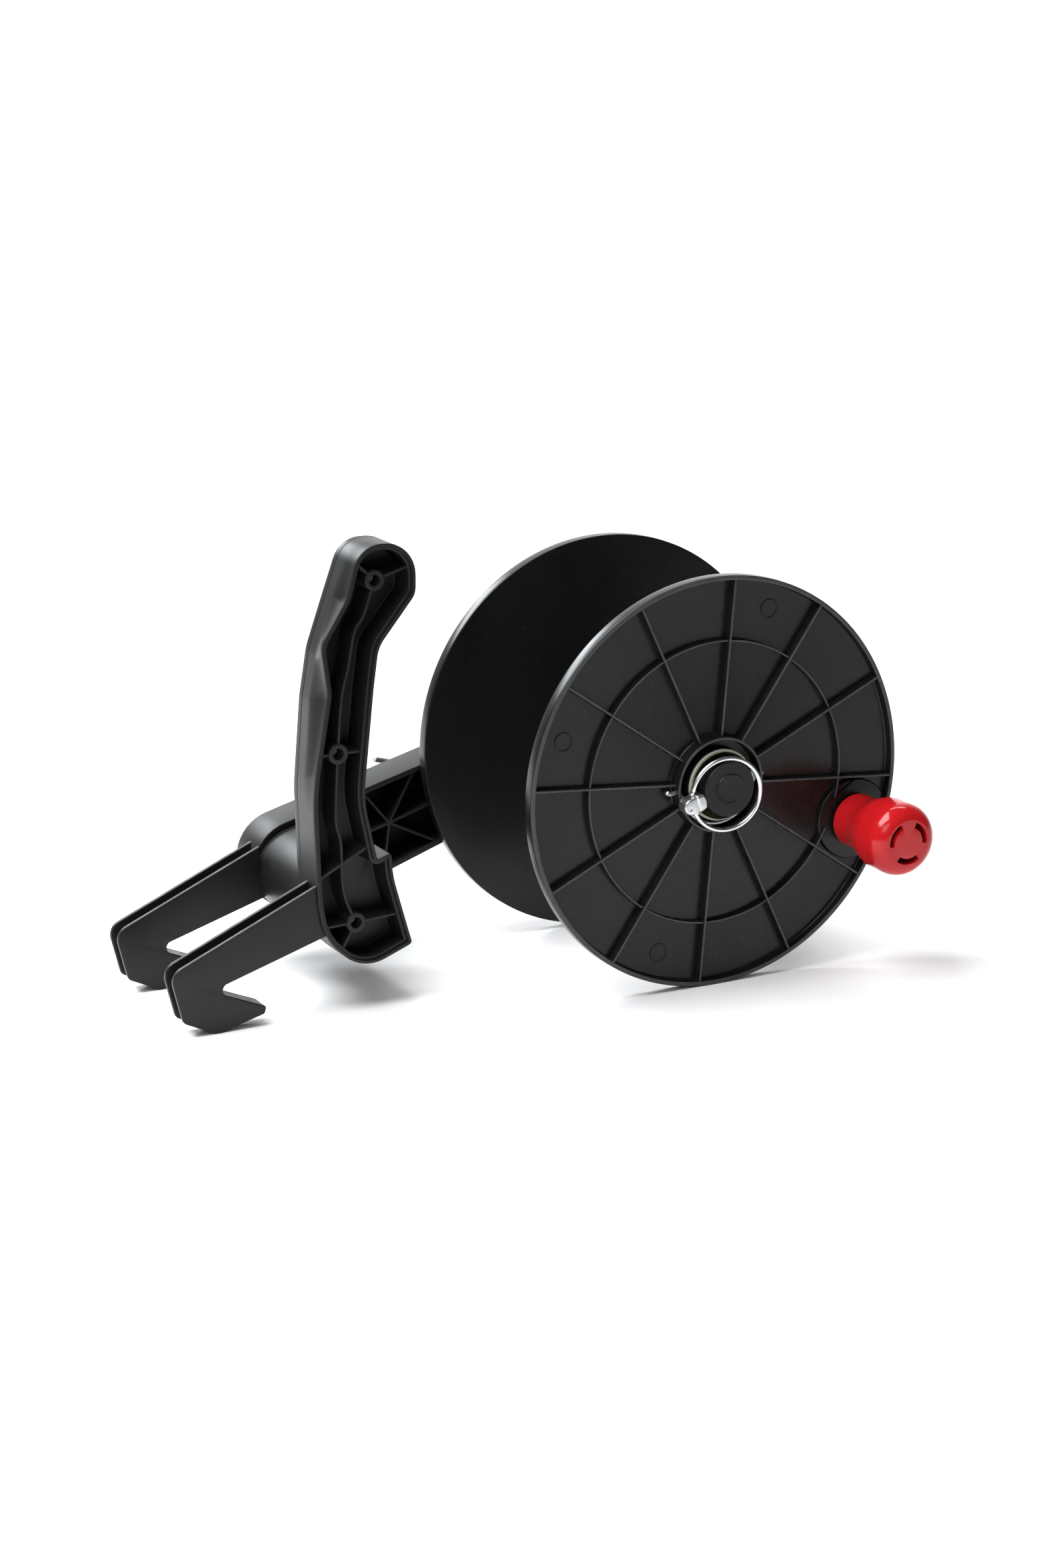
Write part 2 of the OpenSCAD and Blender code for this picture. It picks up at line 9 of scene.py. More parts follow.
import bmesh
import bpy
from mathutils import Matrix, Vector


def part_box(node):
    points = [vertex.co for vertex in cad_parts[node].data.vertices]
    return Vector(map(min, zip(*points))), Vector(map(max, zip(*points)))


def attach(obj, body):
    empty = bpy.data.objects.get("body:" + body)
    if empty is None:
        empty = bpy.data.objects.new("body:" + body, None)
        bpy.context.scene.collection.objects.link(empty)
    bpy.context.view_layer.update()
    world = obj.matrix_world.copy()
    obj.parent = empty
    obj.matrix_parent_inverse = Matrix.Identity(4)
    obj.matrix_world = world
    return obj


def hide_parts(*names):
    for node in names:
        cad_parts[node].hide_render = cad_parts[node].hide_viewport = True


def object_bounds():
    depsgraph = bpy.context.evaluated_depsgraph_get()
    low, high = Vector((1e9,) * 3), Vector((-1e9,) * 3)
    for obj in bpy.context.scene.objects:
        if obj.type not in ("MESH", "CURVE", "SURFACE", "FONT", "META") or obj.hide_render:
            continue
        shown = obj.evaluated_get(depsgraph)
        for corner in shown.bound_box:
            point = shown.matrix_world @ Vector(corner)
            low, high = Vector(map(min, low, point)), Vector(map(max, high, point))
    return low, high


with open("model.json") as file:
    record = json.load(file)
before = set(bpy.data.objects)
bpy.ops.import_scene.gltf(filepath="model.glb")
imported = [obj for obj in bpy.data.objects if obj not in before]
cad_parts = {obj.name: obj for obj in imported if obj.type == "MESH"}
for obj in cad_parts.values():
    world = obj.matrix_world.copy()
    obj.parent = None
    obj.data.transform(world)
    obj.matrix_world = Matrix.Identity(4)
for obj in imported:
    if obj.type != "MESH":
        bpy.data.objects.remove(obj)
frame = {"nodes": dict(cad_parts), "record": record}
cad_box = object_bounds()
base_colors = {m["slot"]: m["base_color"] for m in frame["record"]["materials"]}

MM = 0.001
SAME_SPOT = 1e-7
RIM_W = 7
WEB_Y = 5
flange_low, flange_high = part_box("rear_flange")
FRONT_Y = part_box("drum")[0].y - RIM_W * MM
AXIS = Vector(((flange_low.x + flange_high.x) / 2, 0, (flange_low.z + flange_high.z) / 2))
FLANGE_R = (flange_high.x - flange_low.x) / 2 / MM
SPOOL_W = round((flange_high.y - FRONT_Y) / MM, 3)


def at(x, y, z):
    return Vector((AXIS.x + x * MM, FRONT_Y + y * MM, AXIS.z + z * MM))


# ---------------------------------------------------------------- outlines

def between(a, b, t):
    return tuple(p * (1 - t) + q * t for p, q in zip(a, b))


def ease(t):
    t = min(max(t, 0), 1)
    return (1 - math.cos(math.pi * t)) / 2


def corner_arc(a, b, c, r, n):
    """Points of the arc of radius r that rounds the corner b between a and c."""
    to_a, to_c = (a - b).normalized(), (c - b).normalized()
    half = math.acos(max(-1, min(1, to_a.dot(to_c)))) / 2
    middle = b + (to_a + to_c).normalized() * r / math.sin(half)
    first = b + to_a * r / math.tan(half) - middle
    last = b + to_c * r / math.tan(half) - middle
    start = math.atan2(first.y, first.x)
    sweep = (math.atan2(last.y, last.x) - start + 3 * math.pi) % (2 * math.pi) - math.pi
    angles = [start + sweep * k / n for k in range(n + 1)]
    return [middle + r * Vector((math.cos(t), math.sin(t))) for t in angles]


def rounded(corners, n=8, closed=True):
    """The outline's points, with each corner of radius r > 0 turned into an arc of n steps."""
    flat = [Vector(c[:2]) for c in corners]
    points = []
    for i, c in enumerate(corners):
        ends = not closed and i in (0, len(corners) - 1)
        if len(c) < 3 or c[2] == 0 or ends:
            points.append(flat[i])
        else:
            points += corner_arc(flat[i - 1], flat[i], flat[(i + 1) % len(flat)], c[2], n)
    return points


def inset(corners, d):
    """The same corners moved inwards by d, with the radii that keep the wall even."""
    moved = []
    count = len(corners)
    for i, c in enumerate(corners):
        a, b = Vector(corners[i - 1][:2]), Vector(c[:2])
        e = Vector(corners[(i + 1) % count][:2])
        to_a, to_e = (a - b).normalized(), (e - b).normalized()
        half = math.acos(max(-1, min(1, to_a.dot(to_e)))) / 2
        side = 1 if (b - a).cross(e - b) > 0 else -1
        p = b + (to_a + to_e).normalized() * side * d / math.sin(half)
        moved.append((p.x, p.y, max(c[2] - side * d, 0.05) if c[2] else 0))
    return moved


def smooth_path(points, n=8):
    """A Catmull-Rom line through the points, of any dimension."""
    first, last = points[0] * 2 - points[1], points[-1] * 2 - points[-2]
    full = [first, *points, last]
    line = []
    for i in range(1, len(full) - 2):
        p0, p1, p2, p3 = full[i - 1:i + 3]
        for k in range(n):
            t = k / n
            line.append(0.5 * (2 * p1 + (p2 - p0) * t + (2 * p0 - 5 * p1 + 4 * p2 - p3) * t * t
                               + (3 * p1 - p0 - 3 * p2 + p3) * t ** 3))
    return line + [points[-1].copy()]


def mitre(line, i):
    """Sideways vector at point i of a line in the plane, longer at a bend."""
    def across(a, b):
        d = (b - a).normalized()
        return Vector((-d.y, d.x))
    n = across(line[max(i - 1, 0)], line[max(i, 1)])
    m = across(line[min(i, len(line) - 2)], line[min(i + 1, len(line) - 1)])
    return (n + m) / (1 + n.dot(m))


# ---------------------------------------------------------------- solids

def loft(bm, rings, closed=False):
    """Joins rings of equal length with quads, and closes both ends or joins the last to the first."""
    rows = [[bm.verts.new(p) for p in ring] for ring in rings]
    pairs = list(zip(rows, rows[1:])) + ([(rows[-1], rows[0])] if closed else [])
    for a, b in pairs:
        for i in range(len(a)):
            j = (i + 1) % len(a)
            bm.faces.new((a[i], a[j], b[j], b[i]))
    if not closed:
        bm.faces.new(rows[0][::-1])
        bm.faces.new(rows[-1])


def fillet_steps(y, into, r, n=4):
    """(inset, y) steps of a rounded edge, from the face at y to the wall, into = +1 or -1."""
    angles = [math.pi / 2 * k / n for k in range(n + 1)]
    return [(r * (1 - math.sin(t)), y + into * r * (1 - math.cos(t))) for t in angles]


def outline_ring(corners, d, y, n):
    return [at(p.x, y, p.y) for p in rounded(inset(corners, d), n)]


def walled(p, along, corners, depth):
    """Where a line from p meets the outline, depth inside it."""
    ring = rounded(inset(corners, depth), 10)
    hits = []
    for a, b in zip(ring, ring[1:] + ring[:1]):
        span = b - a
        scale = along.cross(span)
        if abs(scale) > 1e-9:
            t = (a - p).cross(span) / scale
            u = (a - p).cross(along) / scale
            if t > 0 and 0 <= u <= 1:
                hits.append(t)
    return p + along * min(hits)


def prism(bm, corners, y0, y1, r=0.4, n=8):
    """Slab of an outline from y0 to y1, with rounded edges."""
    steps = fillet_steps(y0, 1, r) + fillet_steps(y1, -1, r)[::-1]
    loft(bm, [outline_ring(corners, d, y, n) for d, y in steps])


def lathe(bm, corners, centre=(0, 0), steps=96, n=4, closed=True):
    """Turns a profile of (radius, y, corner radius) about the Y axis through centre."""
    profile = rounded(corners, n, closed)
    rows = []
    for k in range(steps):
        t = 2 * math.pi * k / steps
        ring = [at(centre[0] + p.x * math.sin(t), p.y, centre[1] + p.x * math.cos(t)) for p in profile]
        rows.append([bm.verts.new(p) for p in ring])
    count = len(profile)
    for k, row in enumerate(rows):
        after = rows[(k + 1) % steps]
        for i in range(count if closed else count - 1):
            j = (i + 1) % count
            bm.faces.new((row[i], row[j], after[j], after[i]))
    bmesh.ops.remove_doubles(bm, verts=[v for row in rows for v in row], dist=SAME_SPOT)


def rib(bm, line, t, y_top, y_base, r=0.35, draft=0.15):
    """Upright rib along a line in the XZ plane: rounded at y_top, slightly wider at y_base."""
    section = rounded([(t / 2, y_top, r), (-t / 2, y_top, r), (-t / 2 - draft, y_base, 0),
                       (t / 2 + draft, y_base, 0)], 3)
    if y_base < y_top:
        section = section[::-1]
    rings = []
    for i, p in enumerate(line):
        side = mitre(line, i)
        rings.append([at(p.x + side.x * q.x, q.y, p.y + side.y * q.x) for q in section])
    loft(bm, rings)


def wire(bm, points, r, sides=16, tip=0.3):
    """Round wire along a list of points in metres; r and tip, its ends' chamfer, in millimetres."""
    tangents = []
    for i in range(len(points)):
        a, b = points[max(i - 1, 0)], points[min(i + 1, len(points) - 1)]
        tangents.append((b - a).normalized())
    up = tangents[0].orthogonal().normalized()
    rings = []
    first, last = tangents[0], tangents[-1]
    spots = [(points[0], first, r - tip), (points[0] + first * tip * MM, first, r)]
    spots += [(p, t, r) for p, t in zip(points[1:-1], tangents[1:-1])]
    spots += [(points[-1] - last * tip * MM, last, r), (points[-1], last, r - tip)]
    for p, t, radius in spots:
        up = (up - t * up.dot(t)).normalized()
        side = t.cross(up)
        angles = [2 * math.pi * k / sides for k in range(sides)]
        rings.append([p + radius * MM * (up * math.cos(a) + side * math.sin(a)) for a in angles])
    loft(bm, rings)


def finish_piece(bm, name, body, slot, replaces=(), sharp=32):
    """Makes the piece from its solids, smooth but for edges sharper than sharp degrees."""
    bmesh.ops.recalc_face_normals(bm, faces=bm.faces)
    mesh = bpy.data.meshes.new(name)
    bm.to_mesh(mesh)
    bm.free()
    mesh.shade_smooth()
    mesh.set_sharp_from_angle(angle=math.radians(sharp))
    piece = bpy.data.objects.new(name, mesh)
    bpy.context.scene.collection.objects.link(piece)
    mesh.materials.append(materials[slot])
    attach(piece, body)
    if replaces:
        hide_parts(*replaces)
    return piece


def cut(piece, build_cutter, sharp=32):
    """Takes the solids that build_cutter(bm) draws out of the piece."""
    bm = bmesh.new()
    build_cutter(bm)
    bmesh.ops.recalc_face_normals(bm, faces=bm.faces)
    mesh = bpy.data.meshes.new("cutter")
    bm.to_mesh(mesh)
    bm.free()
    cutter = bpy.data.objects.new("cutter", mesh)
    bpy.context.scene.collection.objects.link(cutter)
    modifier = piece.modifiers.new("cut", "BOOLEAN")
    modifier.operation = "DIFFERENCE"
    modifier.solver = "EXACT"
    modifier.use_self = True
    modifier.object = cutter
    evaluated = piece.evaluated_get(bpy.context.evaluated_depsgraph_get())
    result = bpy.data.meshes.new_from_object(evaluated)
    piece.modifiers.clear()
    piece.data = result
    result.shade_smooth()
    result.set_sharp_from_angle(angle=math.radians(sharp))
    bpy.data.objects.remove(cutter)


# ---------------------------------------------------------------- materials

class Nodes:
    """Builds one material's node tree; place is the object coordinate in metres."""

    def __init__(self, name):
        self.material = bpy.data.materials.new(name)
        self.material.use_nodes = True
        self.tree = self.material.node_tree
        self.shader = self.tree.nodes["Principled BSDF"]
        coordinates = self.add("ShaderNodeTexCoord")
        self.place = coordinates.outputs["Object"]

    def add(self, kind, **settings):
        node = self.tree.nodes.new(kind)
        for key, value in settings.items():
            setattr(node, key, value)
        return node

    def link(self, source, target):
        self.tree.links.new(source, target)

    def stretched(self, scale):
        mapping = self.add("ShaderNodeMapping")
        mapping.inputs["Scale"].default_value = scale
        self.link(self.place, mapping.inputs["Vector"])
        return mapping.outputs["Vector"]

    def noise(self, scale, detail=3, rough=0.5, place=None):
        """Noise with about scale features to the metre."""
        node = self.add("ShaderNodeTexNoise")
        node.inputs["Scale"].default_value = scale
        node.inputs["Detail"].default_value = detail
        node.inputs["Roughness"].default_value = rough
        self.link(place or self.place, node.inputs["Vector"])
        return node.outputs["Fac"]

    def spread(self, value, low, high, to_low, to_high):
        node = self.add("ShaderNodeMapRange")
        for key, number in zip(("From Min", "From Max", "To Min", "To Max"),
                               (low, high, to_low, to_high)):
            node.inputs[key].default_value = number
        self.link(value, node.inputs["Value"])
        return node.outputs["Result"]

    def mix(self, factor, a, b):
        node = self.add("ShaderNodeMix", data_type="RGBA")
        self.link(factor, node.inputs["Factor"])
        for socket, colour in ((node.inputs[6], a), (node.inputs[7], b)):
            if isinstance(colour, tuple):
                socket.default_value = (*colour, 1)
            else:
                self.link(colour, socket)
        return node.outputs[2]

    def math(self, operation, a, b):
        node = self.add("ShaderNodeMath", operation=operation)
        for socket, value in zip(node.inputs, (a, b)):
            if isinstance(value, (int, float)):
                socket.default_value = value
            else:
                self.link(value, socket)
        return node.outputs[0]

    def bump(self, height, strength, distance, below=None):
        node = self.add("ShaderNodeBump")
        node.inputs["Strength"].default_value = strength
        node.inputs["Distance"].default_value = distance
        self.link(height, node.inputs["Height"])
        if below:
            self.link(below, node.inputs["Normal"])
        return node.outputs["Normal"]

    def edges(self, low, high):
        """0 on flat faces to 1 on outer edges."""
        geometry = self.add("ShaderNodeNewGeometry")
        return self.spread(geometry.outputs["Pointiness"], low, high, 0, 1)

    def out(self, colour, roughness, normal, metallic=0.0, **numbers):
        self.link(colour, self.shader.inputs["Base Color"])
        self.link(roughness, self.shader.inputs["Roughness"])
        self.link(normal, self.shader.inputs["Normal"])
        self.shader.inputs["Metallic"].default_value = metallic
        for key, number in numbers.items():
            self.shader.inputs[key.replace("_", " ")].default_value = number
        return self.material


def tinted(colour, factor, blue=1.0):
    return (colour[0] * factor, colour[1] * factor, colour[2] * factor * blue)


def rib_top_highlight_mask(n):
    """Mask of a painted highlight: 1 on the tops of the ribs and rims that face out of the spool, 0
    elsewhere.
    """
    position = n.add("ShaderNodeSeparateXYZ")
    n.link(n.place, position.inputs[0])
    geometry = n.add("ShaderNodeNewGeometry")
    turned = n.add("ShaderNodeVectorTransform", vector_type="NORMAL", convert_from="WORLD",
                   convert_to="OBJECT")
    n.link(geometry.outputs["Normal"], turned.inputs[0])
    facing = n.add("ShaderNodeSeparateXYZ")
    n.link(turned.outputs[0], facing.inputs[0])
    middle = FRONT_Y + SPOOL_W * MM / 2
    reach = SPOOL_W * MM / 2
    off = n.math("ABSOLUTE", n.math("SUBTRACT", position.outputs["Y"], middle), 0)
    proud = n.spread(off, reach - 2.2 * MM, reach - 1.6 * MM, 0, 1)
    flat = n.spread(n.math("ABSOLUTE", facing.outputs["Y"], 0), 0.45, 0.9, 0, 1)
    return n.math("MULTIPLY", proud, flat)


def moulded_plastic(slot, rough, grain, wear=0.5, depth=1.0, specular=0.5, rib_top_highlight=0.0, **numbers):
    """Moulded plastic: faint flow marks, fine grain, worn edges, a few hairline scratches and a painted
    highlight on the outward rib and rim tops.
    """
    base = tinted(base_colors[slot], depth)
    n = Nodes(slot)
    flow = n.noise(22, 4, 0.6, n.stretched((1, 1, 0.35)))
    speckle = n.noise(2600, 2, 0.6)
    colour = n.mix(n.spread(flow, 0.3, 0.7, 0, 1), tinted(base, 0.8), tinted(base, 1.2, 0.96))
    colour = n.mix(n.spread(speckle, 0.35, 0.75, 0, 0.15), colour, tinted(base, 1.9))
    worn = n.math("MULTIPLY", n.edges(0.515, 0.6), n.spread(n.noise(160, 3), 0.35, 0.65, 0, wear))
    colour = n.mix(worn, colour, tinted(base, 3.2, 1.04))
    # Painted highlight: the outward tops of the ribs and rims are lightened, in patches, to stand in
    # for the light their edges catch.
    if rib_top_highlight:
        patchy = n.spread(n.noise(90, 3), 0.3, 0.7, 0.75, 1)
        colour = n.mix(n.math("MULTIPLY", rib_top_highlight_mask(n), patchy), colour, tinted(base, rib_top_highlight))
    scratches = n.noise(420, 5, 0.75, n.stretched((1, 0.08, 0.16)))
    marks = n.spread(scratches, 0.64, 0.74, 0, wear * 0.5)
    patches = n.spread(n.noise(45, 4, 0.6), 0.3, 0.7, -0.02, 0.03)
    roughness = n.math("ADD", n.math("ADD", patches, marks), n.math("ADD", worn, rough))
    sink = n.bump(n.noise(30, 2), 0.12, 0.0006)
    fine = n.bump(n.noise(1500, 3, 0.55), grain, 0.00005, sink)
    normal = n.bump(scratches, 0.03, 0.00004, fine)
    n.shader.inputs["Specular IOR Level"].default_value = specular
    return n.out(colour, roughness, normal, **numbers)


def plated_steel(slot, rough, grain, dull=0.55, pitted=0.6, brushed=(1, 1, 1), depth=1.0):
    """Plated steel: cloudy plating, small pits, brighter worn edges."""
    base = tinted(base_colors[slot], depth)
    n = Nodes(slot)
    cloud = n.noise(320, 4, 0.6, n.stretched(brushed))
    pits = n.spread(n.noise(1400, 3, 0.6), 0.64, 0.74, 0, pitted)
    colour = n.mix(n.spread(cloud, 0.3, 0.7, 0, 1), tinted(base, dull), tinted(base, 1.15))
    colour = n.mix(pits, colour, tinted(base, 0.3))
    colour = n.mix(n.edges(0.52, 0.6), colour, tinted(base, 1.2))
    roughness = n.spread(cloud, 0.25, 0.75, rough + 0.08, rough - 0.05)
    dents = n.bump(n.noise(500, 3), grain, 0.0002)
    normal = n.bump(n.noise(3500, 2), grain * 0.6, 0.00004, dents)
    return n.out(colour, roughness, normal, metallic=1.0)


materials = {
    # Black gloss takes the painted highlight on its rib and rim tops, at eight times its base colour.
    "black_gloss": moulded_plastic("black_gloss", 0.25, 0.04, 0.04, 0.16, 0.26, rib_top_highlight=8),
    "black_satin": moulded_plastic("black_satin", 0.4, 0.2, 0.15, 0.14, 0.28),
    "red_gloss": moulded_plastic("red_gloss", 0.16, 0.04, 0.02, 0.8, 0.3, Coat_Weight=0.12,
                                 Coat_Roughness=0.05),
    "zinc_steel": plated_steel("zinc_steel", 0.36, 0.3, 0.75, 0.4),
    "chrome_wire": plated_steel("chrome_wire", 0.26, 0.06, 0.85, 0.1, (1, 1, 0.3)),
    # Painted shade: the yellow-zinc washers' colour is cut to 3 per cent, near black, so they show only
    # faintly.
    "yellow_zinc": plated_steel("yellow_zinc", 0.5, 0.2, 0.5, depth=0.03),
    "nylon": moulded_plastic("nylon", 0.45, 0.2, 0.2),
}


def dress_cad_node(node, slot):
    """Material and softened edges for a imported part; those that a piece replaces stay hidden."""
    node.data.materials.clear()
    node.data.materials.append(materials[slot])
    weld = node.modifiers.new("weld", "WELD")
    weld.merge_threshold = 0.002 * MM
    edge = node.modifiers.new("edge", "BEVEL")
    edge.width = 0.2 * MM
    edge.segments = 2
    edge.limit_method = "ANGLE"
    edge.angle_limit = math.radians(40)


for part in frame["record"]["subparts"]:
    dress_cad_node(frame["nodes"][part["node"]], part["material_slot"])


# ---------------------------------------------------------------- flanges

RIB_PHASE = 4.74
RIB_STEP = 30
RIB_TOP = 0.4
COLLAR_R = 25.5
COLLAR_IN = 23.9
RIM_IN = FLANGE_R - 2.6
HUB_OUT = 19.26
BUSH_OUT = 17.06
RING_RIB_R = 75.5
PAD_R = 22
PAD_GAP = 6.5
PAD_TOP = 2.6
RING_RIB_TOP = 1.4
MARK_R = 94.5
KNOB_R = 91.5
KNOB_ANGLE = RIB_PHASE + RIB_STEP * 3.5
CLIP_Y = 1.5
CLIP_R = 21.4
CLIP_WIRE_R = 1.25
CLIP_TILT = math.radians(5)


def polar(r, degrees):
    t = math.radians(degrees)
    return Vector((r * math.sin(t), r * math.cos(t)))


KNOB_AT = polar(KNOB_R, KNOB_ANGLE)


def flange_solids(bm, hub_y, collar_out, y_of, detour):
    """Web, rim, collar, hub and ribs; y_of places a depth from the outer face."""
    corners = [(BUSH_OUT, hub_y, 0.2), (HUB_OUT, hub_y, 0.3), (HUB_OUT, WEB_Y, 0.4),
               (COLLAR_IN, WEB_Y, 0.4), (COLLAR_IN, -collar_out, 0.4), (COLLAR_R, -collar_out, 0.6),
               (COLLAR_R + 0.1, WEB_Y, 1.0), (RIM_IN - 0.1, WEB_Y, 0.9), (RIM_IN, 0, 0.55),
               (FLANGE_R, 0, 0.9), (FLANGE_R, RIM_W, 0.6), (29, RIM_W, 0.3), (29, 13, 0.2),
               (26.5, 13, 0.2), (26.5, RIM_W, 0.3), (HUB_OUT, RIM_W, 0.3), (HUB_OUT, 17, 0.2),
               (BUSH_OUT, 17, 0.2)]
    lathe(bm, [(r, y_of(y), f) for r, y, f in corners], steps=288)
    for k in range(12):
        angle = RIB_PHASE + RIB_STEP * k
        ends = [polar(COLLAR_R - 0.8, angle), polar(RIM_IN + 0.6, angle)]
        rib(bm, ends, 1.3, y_of(RIB_TOP), y_of(WEB_Y + 0.5), 0.4)
    if detour:
        start = KNOB_ANGLE + PAD_GAP
        turn = 360 - 2 * PAD_GAP
    else:
        start, turn = 0, 360
    line = [polar(RING_RIB_R, start + turn * k / 180) for k in range(181)]
    rib(bm, line, 1.1, y_of(RING_RIB_TOP), y_of(WEB_Y + 0.5), 0.35)


def front_flange():
    """Front disc with the knob's pad and three raised marks."""
    bm = bmesh.new()
    flange_solids(bm, -1.7, 3, lambda y: y, True)
    pad_arc = [polar(PAD_R, t) + KNOB_AT for t in range(0, 361, 4)]
    first = next(i for i, p in enumerate(pad_arc) if p.length >= RIM_IN + 0.2)
    outer = [p for p in pad_arc[first:] + pad_arc[:first] if p.length < RIM_IN + 0.2]
    rim = [polar(RIM_IN + 0.2, KNOB_ANGLE + d) for d in range(-8, 9, 2)]
    pad = [(p.x, p.y, 0) for p in outer + rim]
    turning = sum(a[0] * b[1] - b[0] * a[1] for a, b in zip(pad, pad[1:] + pad[:1]))
    prism(bm, pad if turning > 0 else pad[::-1], PAD_TOP, WEB_Y + 0.9, 0.8)
    for k in (1, 2, 3):
        spot = polar(MARK_R, KNOB_ANGLE + 90 * k)
        lathe(bm, [(4.4, 4.55, 0.2), (5.2, 4.55, 0.2), (5.3, WEB_Y + 0.4, 0), (4.3, WEB_Y + 0.4, 0)],
              spot, 48, 3)
    finish_piece(bm, "front_flange_moulding", "spool", "black_gloss", ["front_flange"])


def rear_flange():
    """The same disc mirrored, without pad and marks."""
    bm = bmesh.new()
    flange_solids(bm, 1, 0.02, lambda y: SPOOL_W - y, False)
    finish_piece(bm, "rear_flange_moulding", "spool", "black_gloss", ["rear_flange"])


front_flange()
rear_flange()


# ---------------------------------------------------------------- knob

KNOB_L = 50
KNOB_HEAD_R = 19.5
KNOB_STEM_R = 14.5
SLOT_R = (8.6, 11.5)
SLOT_STEPS = 24
KNOB_STEPS = 120


def knob_profile():
    """Radius and y from the middle of the front face, round the outside, back up the bore."""
    face = [(0, -KNOB_L), (4, -KNOB_L), (SLOT_R[0], -KNOB_L), (SLOT_R[1], -KNOB_L), (11.9, -KNOB_L)]
    shoulder = []
    for k in range(1, 17):
        t = math.pi / 2 * k / 16
        shoulder.append((11.9 + (KNOB_HEAD_R - 11.9) * math.sin(t),
                         -KNOB_L + 9.6 * (1 - math.cos(t)) ** 0.92))
    side = [(KNOB_HEAD_R, -37), (KNOB_HEAD_R, -34), (KNOB_HEAD_R, -31)]
    flare = []
    for k in range(25):
        t = k / 24
        drop = t - 0.3 * math.sin(2 * math.pi * t) / (2 * math.pi)
        flare.append((KNOB_HEAD_R - (KNOB_HEAD_R - KNOB_STEM_R) * drop, -29 + 17 * t))
    stem = [(KNOB_STEM_R, -9), (KNOB_STEM_R, -6), (KNOB_STEM_R, -3), (KNOB_STEM_R, -1)]
    foot = []
    for k in range(1, 6):
        t = math.pi / 2 * k / 5
        foot.append((KNOB_STEM_R - 1.2 * (1 - math.cos(t)), -0.6 + 1.2 * math.sin(t)))
    bore = [(6.1, 0.6), (6.1, -38.2), (12.5, -38.2), (12.5, -47), (SLOT_R[1], -47), (SLOT_R[0], -47),
            (0, -47)]
    return face + shoulder + side + flare + stem + foot + bore


def knob():
    """Turned knob with three arc slots through its face."""
    bm = bmesh.new()
    profile = knob_profile()
    count = len(profile)
    outer = (2, 3)
    inner = (count - 2, count - 3)
    rows = []
    for k in range(KNOB_STEPS):
        t = math.radians(360 * k / KNOB_STEPS)
        rows.append([bm.verts.new(at(KNOB_AT.x + r * math.sin(t), y, KNOB_AT.y + r * math.cos(t)))
                     for r, y in profile])

    def in_slot(k):
        return (k - KNOB_STEPS // 6 + SLOT_STEPS // 2) % (KNOB_STEPS // 3) < SLOT_STEPS

    lips = []
    for k, row in enumerate(rows):
        after = rows[(k + 1) % KNOB_STEPS]
        for i in range(count - 1):
            if in_slot(k) and (i, i + 1) in ((outer[0], outer[1]), (inner[1], inner[0])):
                continue
            bm.faces.new((row[i], row[i + 1], after[i + 1], after[i]))
        if in_slot(k):
            for a, b in zip(outer, inner):
                wall = bm.faces.new((row[a], after[a], after[b], row[b]))
                lips.append(next(e for e in wall.edges if set(e.verts) == {row[a], after[a]}))
        if in_slot(k) != in_slot(k - 1):
            end = bm.faces.new((row[outer[0]], row[outer[1]], row[inner[1]], row[inner[0]]))
            lips.append(next(e for e in end.edges
                             if set(e.verts) == {row[outer[0]], row[outer[1]]}))
    bmesh.ops.remove_doubles(bm, verts=bm.verts[:], dist=SAME_SPOT)
    bmesh.ops.recalc_face_normals(bm, faces=bm.faces)
    bmesh.ops.bevel(bm, geom=[e for e in lips if e.is_valid], offset=0.25 * MM, segments=2,
                    affect="EDGES", profile=0.5)
    finish_piece(bm, "knob_grip", "crank_knob", "red_gloss", ["knob"], 40)


knob()


# ---------------------------------------------------------------- spindle end and linch pin

TILT = math.radians(17)
LINCH_Y = -7.4
LINCH_R = 2.25
DIMPLE_AT = (-24.6, -1.2)
DIMPLE_R = 0.75
PIVOT_HALF = 6.2
HEAD_H = 9
HEAD_X = (-25.6, -14.9)
HEAD_Y = (-12.2, -5.0)
PIVOT = (-20, -8.2)
RING_R = 19.3
RING_WIRE_R = 1.25
RING_LEAN = math.radians(6.1)
RING_SKEW = math.radians(-8)


def tilted(x, y, z):
    """A point given along and across the linch pin."""
    return at(x * math.cos(TILT) - z * math.sin(TILT), y, x * math.sin(TILT) + z * math.cos(TILT))


CAP_FACE_Y = -12.45
CAP_LIP_Y = -12.85
CAP_BACK_Y = -10.2
CAP_R = 8.35
CAP_STEM_R = 7.9


def spindle_cap():
    """Plain round cap in the spindle's bore, with a raised lip."""
    bm = bmesh.new()
    lathe(bm, [(0, CAP_FACE_Y), (7.0, CAP_FACE_Y, 0.3), (7.35, CAP_LIP_Y, 0.2), (8.0, CAP_LIP_Y, 0.3),
               (CAP_R, -12.05, 0.1), (CAP_R, -11.6, 0), (CAP_STEM_R, -11.6, 0),
               (CAP_STEM_R, CAP_BACK_Y, 0.3), (0, CAP_BACK_Y)], steps=128, closed=False)
    finish_piece(bm, "spindle_end_cap", "frame", "black_satin", ["spindle_cap"])


